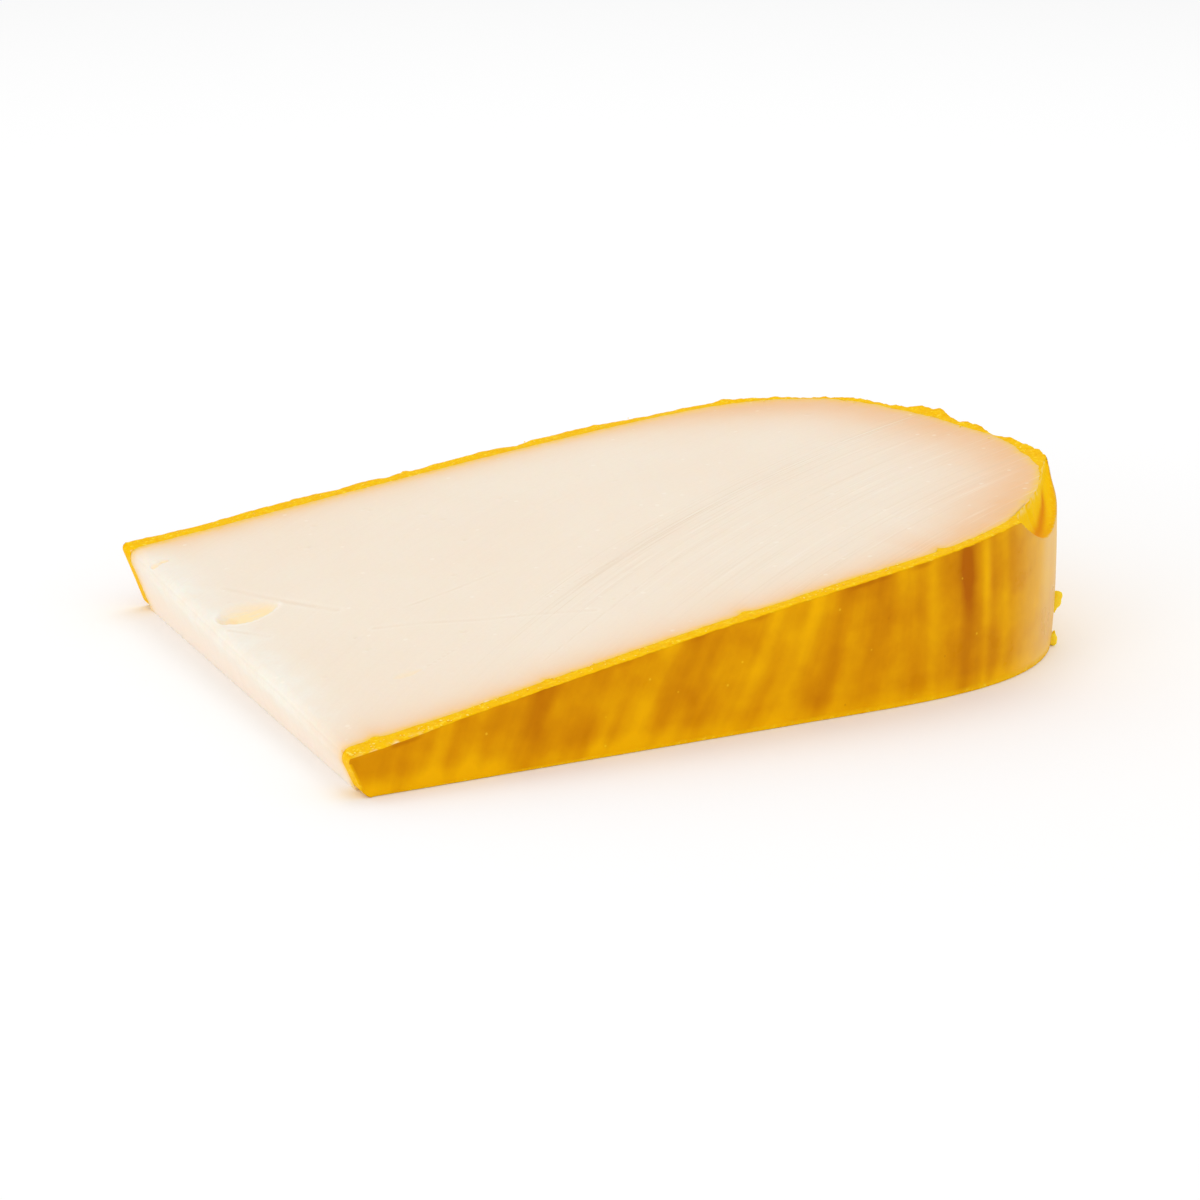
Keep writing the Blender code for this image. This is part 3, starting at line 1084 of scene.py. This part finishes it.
def build_rind(wedge, settings):
    """The coated rind, with its scooped corner, its strokes and its crumbly cut edges."""
    mesh = rind_block(wedge, settings)
    run, share, level = get_points(mesh).T
    depth = share * rind_width(run, level)
    plan_x, y = wedge.inside(run, depth)
    _, height = wedge.stand(plan_x, y, np.ones_like(run))
    drop = (1.0 - level) * height
    top = drop < ON_FACE
    outer = share < 1e-6
    low = level < 1e-6
    ends = (run < wedge.front_run + 1e-6) | (run > wedge.back_run - 1e-6)
    depth, drop, scooped = scoop(run, depth, drop, settings)
    gouged = scooped >= 0.0
    depth, drop = round_corner(depth, drop, settings.edge_round)
    depth, foot = round_corner(depth, height - drop, settings.edge_round)
    drop = height - foot
    tone = coating_tone(wedge, run, height - drop, height)

    torn = smooth(-0.030, -0.012, run) * smooth(0.070, 0.040, run)
    surface = as_points(run, share * 0.003, level * 0.02)
    lump = 0.6 * lumps(surface, 0.0016, 12) + 0.4 * lumps(surface, 0.0007, 13)
    bulge = sum(size * peak(run, centre, half) for centre, half, size in EDGE_BUMPS)
    near_top = smooth(0.0030, 0.0, drop)
    outside = 1.0 - smooth(0.0, 1.0, share)
    crumbled = (settings.proud + settings.crumble * lump * (1.0 + torn)) * (1.0 - share**3)
    rise = (0.24 * bulge * outside + crumbled) * near_top
    waves = lumps(as_points(run, level * 0.012, 0.0), 0.014, 14)
    swell = settings.stroke_height * tone + settings.wave * waves * smooth(0.0, 0.3, level)
    push = 0.62 * bulge * near_top * outside + np.where(outer & ~gouged, swell, 0.0)
    depth = depth - (push + np.where(outer, near_top * torn * 0.0003 * lump, 0.0))

    near_end = np.minimum(run - wedge.front_run, wedge.back_run - run)
    inward, lifted = round_corner(near_end, height - drop, settings.foot_round)
    end_radius = settings.end_round * np.where(run > 0, 1.5 + 0.9 * share, 1.0 + 1.6 * share)
    sunk_in, sunk = round_corner(near_end, drop, end_radius)
    run_there = run + np.where(run < 0, 1.0, -1.0) * ((inward - near_end) + (sunk_in - near_end))
    drop = drop - (lifted - (height - drop)) + (sunk - drop)
    plan_x, y = wedge.inside(run_there, depth)
    x, z = wedge.stand(plan_x, y, 1.0 - drop / height)
    z = z + rise * np.where(gouged, 0.2, 1.0) * np.where(low, 0.0, 1.0)
    set_points(mesh, as_points(x, y, z))

    # Painted shade along a line across the scoop's hollow.
    lined = 0.18 + 24.0 * (run - settings.scoop_run + 0.0010)
    crumb_and_hollow_shade = gouged * hump(scooped - lined, 0.16)
    crumb_and_hollow_shade = crumb_and_hollow_shade * smooth(0.0110, 0.0060, np.abs(run - settings.scoop_run - 0.003))
    crest = 0.45 * (gouged * smooth(0.74, 0.96, scooped)) * smooth(-0.15, 0.25, lump)
    # A painted highlight along the rind's outer upper edge near the front tip.
    burr_and_highlight = hump(depth, 0.0006) * near_top * smooth(-0.163, -0.168, run) * smooth(-0.1765, -0.1740, run)
    store(mesh, "cut", np.clip((top | low | ends | gouged | (share > 0.01)) * 1.0, 0.0, 1.0))
    store(mesh, "tone", tone)
    store(mesh, "crumb_and_hollow_shade", crumb_and_hollow_shade)
    # Painted light over the scooped corner.
    store(mesh, "scoop_brightening", gouged * smooth(0.0, 0.12, scooped))
    store(mesh, "burr_and_highlight", np.maximum(burr_and_highlight * smooth(-0.1, 0.3, lump), crest))
    # Where the painted sheen lies: on the coating round the rim's crown.
    store(mesh, "sheen", smooth(-0.062, -0.046, run) * smooth(0.075, 0.045, run))
    store(mesh, "brush", as_points(brush_place(wedge, run, z), z, depth))
    place_piece("coated_rind", mesh, rind_material(settings), ("coated_rind",))


def build_crumbs(wedge, settings):
    """Crumbs and dust: small lumps along the cut rind, thickest at the front near the tip."""
    scatter = random.Random(23)
    shape = bmesh.new()
    margin = 0.001  # no crumbs lie this close to the two ends
    clear_from, clear_to = SCOOP_CLEAR
    for _ in range(190):
        span = wedge.back_run - wedge.front_run - 2 * margin
        run = wedge.front_run + margin + span * scatter.random() ** 2.4
        if clear_from < run - settings.scoop_run < clear_to:
            continue
        depth = scatter.uniform(0.0003, 0.0027)
        x, y = wedge.inside(np.array([run]), depth)
        x, z = wedge.stand(x, y, np.ones(1))
        size = scatter.uniform(0.00007, 0.00018)
        wide, long = scatter.uniform(0.7, 1.7), scatter.uniform(0.7, 1.7)
        stretch = Matrix.Diagonal((wide, long, scatter.uniform(0.4, 0.8), 1.0))
        turn = Matrix.Rotation(scatter.uniform(0.0, math.tau), 4, "Z")
        place = Matrix.Translation((x[0], y[0], z[0] + settings.proud + size * 0.2))
        bmesh.ops.create_icosphere(shape, subdivisions=1, radius=size, matrix=place @ turn @ stretch)
    mesh = to_mesh(shape, "rind_crumbs")
    place_piece("rind_crumbs", mesh, crumb_material(settings))


def build_shreds(wedge, settings):
    """Shreds of coating that stick out of the rim: an ear and a small flap by the lower cut."""
    shape = bmesh.new()
    for run, height, out, half_height, taper in SHREDS:
        ball = bmesh.ops.create_icosphere(shape, subdivisions=4, radius=1.0)["verts"]
        x, y = wedge.inside(np.array([run]), -out * 0.35)
        x, z = wedge.stand(x, y, height / wedge.upper_cut(x, y))
        out_x, out_y = (part[0] for part in wedge.outward(np.array([run])))
        for vert in ball:
            ragged = 1.0 + 0.34 * noise.noise(vert.co * 1.9 + Vector((run * 900, 0.0, 0.0)))
            wide = 1.0 + taper * vert.co.z
            forward, side = vert.co.x * out * wide * ragged, vert.co.y * SHRED_HALF * ragged
            lean = 0.35 * out * vert.co.z
            vert.co = Vector((
                x[0] + (forward + lean) * out_x - side * out_y,
                y[0] + (forward + lean) * out_y + side * out_x,
                max(z[0] + vert.co.z * half_height * ragged, 0.00005),
            ))
    mesh = to_mesh(shape, "rind_shreds")
    place_piece("rind_shreds", mesh, shred_material(settings))


def shred_material(settings):
    """Torn coating: bright yellow, thin and waxy."""
    material, tree, shader = new_material("torn_coating")
    place = add_node(tree, "ShaderNodeTexCoord").outputs["Object"]
    patchy = noise_output(tree, place, 900.0, detail=3.0)
    torn = mix(tree, rescale(tree, patchy, 0.35, 0.65, 0.0, 0.3), settings.torn, settings.cut)
    feed(tree, shader, {
        "Base Color": torn,
        "Roughness": 0.45,
        "Specular IOR Level": 0.2,
        "Subsurface Weight": 0.2,
        "Subsurface Scale": 0.0008,
        "Normal": bump(tree, patchy, 0.00008),
    })
    arrange(tree)
    return material


# ---------------------------------------------------------------- the stage


def add_area_light(name, location, size, power):
    light = bpy.data.lights.new(name, "AREA")
    light.shape = "DISK"
    light.size = size
    light.energy = power
    lamp = bpy.data.objects.new(name, light)
    lamp.location = location
    lamp.rotation_euler = Vector(location).to_track_quat("Z", "Y").to_euler()
    bpy.context.scene.collection.objects.link(lamp)


def build_stage(settings):
    """A pale floor, even light from all round, two soft lamps and the camera."""
    scene = bpy.context.scene
    shape = bmesh.new()
    bmesh.ops.create_grid(shape, x_segments=8, y_segments=8, size=4.0)
    mesh = to_mesh(shape, "floor")
    material, tree, shader = new_material("floor")
    feed(tree, shader, {"Base Color": colour(settings.floor), "Roughness": 0.9, "Specular IOR Level": 0.0})
    mesh.materials.append(material)
    floor = bpy.data.objects.new("floor", mesh)
    scene.collection.objects.link(floor)

    world = bpy.data.worlds.new("studio")
    world.use_nodes = True
    sky = world.node_tree.nodes["Background"]
    sky.inputs["Color"].default_value = (1.0, 1.0, 1.0, 1.0)
    sky.inputs["Strength"].default_value = settings.sky
    scene.world = world
    add_area_light("key", (0.25, 0.35, 1.25), 0.9, settings.key)
    add_area_light("fill", (-1.25, -0.45, 0.20), 0.8, settings.fill)
    scene.view_settings.view_transform = "Standard"

    data = bpy.data.cameras.new("camera")
    data.lens = settings.lens
    data.clip_start = 0.01
    camera = bpy.data.objects.new("camera", data)
    outwards = Vector((
        -math.sin(settings.azimuth) * math.cos(settings.elevation),
        -math.cos(settings.azimuth) * math.cos(settings.elevation),
        math.sin(settings.elevation),
    ))
    turn = outwards.to_track_quat("Z", "Y").to_matrix().to_4x4() @ Matrix.Rotation(settings.roll, 4, "Z")
    camera.matrix_world = Matrix.Translation(Vector(settings.target) + outwards * settings.distance) @ turn
    scene.collection.objects.link(camera)
    scene.camera = camera


# ---------------------------------------------------------------- the add-on


class CHEESE_OT_paste(bpy.types.Operator):
    """Builds the pale paste with its eyes, scratches and wire marks"""

    bl_idname = "cheese.paste"
    bl_label = "Paste"

    def execute(self, context):
        build_paste(Wedge(context.scene.cheese_wheel), context.scene.cheese_paste)
        return {"FINISHED"}


class CHEESE_OT_rind(bpy.types.Operator):
    """Builds the coated rind with its brush strokes, its crumbly cut edge and its scooped corner"""

    bl_idname = "cheese.rind"
    bl_label = "Coated Rind"

    def execute(self, context):
        build_rind(Wedge(context.scene.cheese_wheel), context.scene.cheese_rind)
        return {"FINISHED"}


class CHEESE_OT_crumbs(bpy.types.Operator):
    """Scatters crumbs along the cut rind"""

    bl_idname = "cheese.crumbs"
    bl_label = "Crumbs"

    def execute(self, context):
        build_crumbs(Wedge(context.scene.cheese_wheel), context.scene.cheese_rind)
        return {"FINISHED"}


class CHEESE_OT_shreds(bpy.types.Operator):
    """Builds the shreds of coating that stick out of the rim"""

    bl_idname = "cheese.shreds"
    bl_label = "Shreds"

    def execute(self, context):
        build_shreds(Wedge(context.scene.cheese_wheel), context.scene.cheese_rind)
        return {"FINISHED"}


class CHEESE_OT_stage(bpy.types.Operator):
    """Builds the floor, the lights and the camera"""

    bl_idname = "cheese.stage"
    bl_label = "Stage"

    def execute(self, context):
        build_stage(context.scene.cheese_stage)
        return {"FINISHED"}


class CHEESE_PT_panel(bpy.types.Panel):
    """Lists the pieces of the wedge and their settings"""

    bl_idname = "CHEESE_PT_panel"
    bl_label = "Cheese Wedge"
    bl_space_type = "VIEW_3D"
    bl_region_type = "UI"
    bl_category = "Cheese Wedge"

    def draw(self, context):
        scene = context.scene
        sections = (
            (scene.cheese_wheel, ()),
            (scene.cheese_paste, (CHEESE_OT_paste,)),
            (scene.cheese_rind, (CHEESE_OT_rind, CHEESE_OT_crumbs, CHEESE_OT_shreds)),
            (scene.cheese_stage, (CHEESE_OT_stage,)),
        )
        for settings, operators in sections:
            box = self.layout.box()
            for name in settings.bl_rna.properties.keys():
                if name not in ("rna_type", "name"):
                    box.prop(settings, name)
            for operator in operators:
                box.operator(operator.bl_idname)


PROPERTY_GROUPS = {
    "cheese_wheel": WheelSizes,
    "cheese_paste": PasteSettings,
    "cheese_rind": RindSettings,
    "cheese_stage": StageSettings,
}
CLASSES = (
    *PROPERTY_GROUPS.values(),
    CHEESE_OT_paste,
    CHEESE_OT_rind,
    CHEESE_OT_crumbs,
    CHEESE_OT_shreds,
    CHEESE_OT_stage,
    CHEESE_PT_panel,
)


def register():
    for item in CLASSES:
        bpy.utils.register_class(item)
    for name, group in PROPERTY_GROUPS.items():
        setattr(bpy.types.Scene, name, bpy.props.PointerProperty(type=group))


def unregister():
    for name in PROPERTY_GROUPS:
        delattr(bpy.types.Scene, name)
    for item in reversed(CLASSES):
        bpy.utils.unregister_class(item)


def main():
    register()
    bpy.ops.cheese.stage()
    bpy.ops.cheese.paste()
    bpy.ops.cheese.rind()
    bpy.ops.cheese.crumbs()
    bpy.ops.cheese.shreds()


if __name__ == "__main__":
    main()
